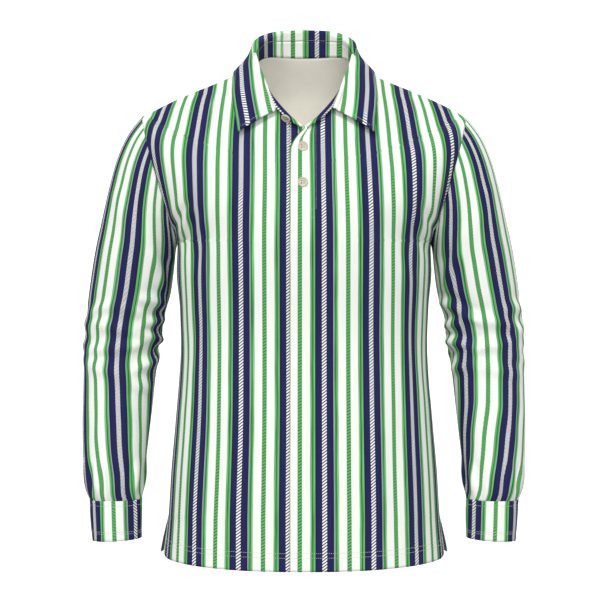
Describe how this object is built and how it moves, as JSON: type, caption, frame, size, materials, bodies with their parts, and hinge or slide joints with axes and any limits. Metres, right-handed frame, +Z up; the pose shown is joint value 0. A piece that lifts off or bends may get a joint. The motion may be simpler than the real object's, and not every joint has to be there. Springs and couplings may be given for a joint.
{
  "type": "long-sleeve polo shirt",
  "caption": "Long-sleeve polo in its worn form, with a spread two-part collar, short buttoned placket, gathered sleeves, cuff bands and a side-vented hem.",
  "frame": {"origin": "inside the neck opening, level with the points where the shoulder seams would meet the wearer's neck", "axes": "+Z up along the wearer's body, -Y towards the front, +X towards the wearer's left"},
  "size_m": [0.6598, 0.2725, 0.7936],
  "materials": {
    "front_right": "matte striped stretch jersey",
    "front_left": "matte striped stretch jersey",
    "placket_under": "matte striped stretch jersey",
    "back": "matte striped stretch jersey",
    "sleeve_right": "matte striped stretch jersey",
    "sleeve_left": "matte striped stretch jersey",
    "cuff_right": "matte striped jersey, doubled",
    "cuff_left": "matte striped jersey, doubled",
    "collar_stand": "matte striped jersey, lined",
    "collar_leaf": "matte striped jersey, lined",
    "button_upper": "satin",
    "button_lower": "satin",
    "button_stand": "satin"
  },
  "bodies": {
    "root": {"front_right": "front_right", "front_left": "front_left", "placket_under": "placket_under", "back": "back", "sleeve_right": "sleeve_right", "sleeve_left": "sleeve_left", "cuff_right": "cuff_right", "cuff_left": "cuff_left", "collar_stand": "collar_stand", "collar_leaf": "collar_leaf", "button_upper": "button_upper", "button_lower": "button_lower", "button_stand": "button_stand"}
  },
  "joints": []
}
